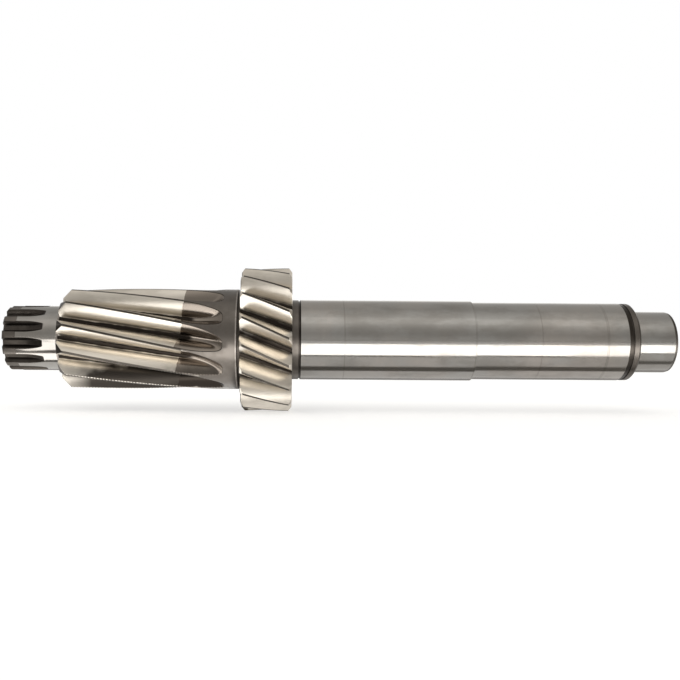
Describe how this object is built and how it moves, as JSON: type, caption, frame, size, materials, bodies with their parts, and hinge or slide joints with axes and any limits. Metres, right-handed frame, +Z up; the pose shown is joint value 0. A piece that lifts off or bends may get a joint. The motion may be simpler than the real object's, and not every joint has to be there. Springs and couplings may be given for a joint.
{
  "type": "intermediate shaft",
  "caption": "One-piece gearbox intermediate shaft with a splined stub, a long helical pinion, a larger helical gear and ground bearing seats.",
  "frame": {"origin": "on the shaft's axis, midway between its two end faces", "axes": "+X along the shaft's axis from the splined stub to the plain journal; +Z up with the shaft lying level; +Y away from the camera side"},
  "size_m": [0.5494, 0.1194, 0.1194],
  "materials": {
    "steel": "ground and polished, darker where unground"
  },
  "bodies": {
    "root": {"intermediate_shaft": "steel"}
  },
  "joints": []
}
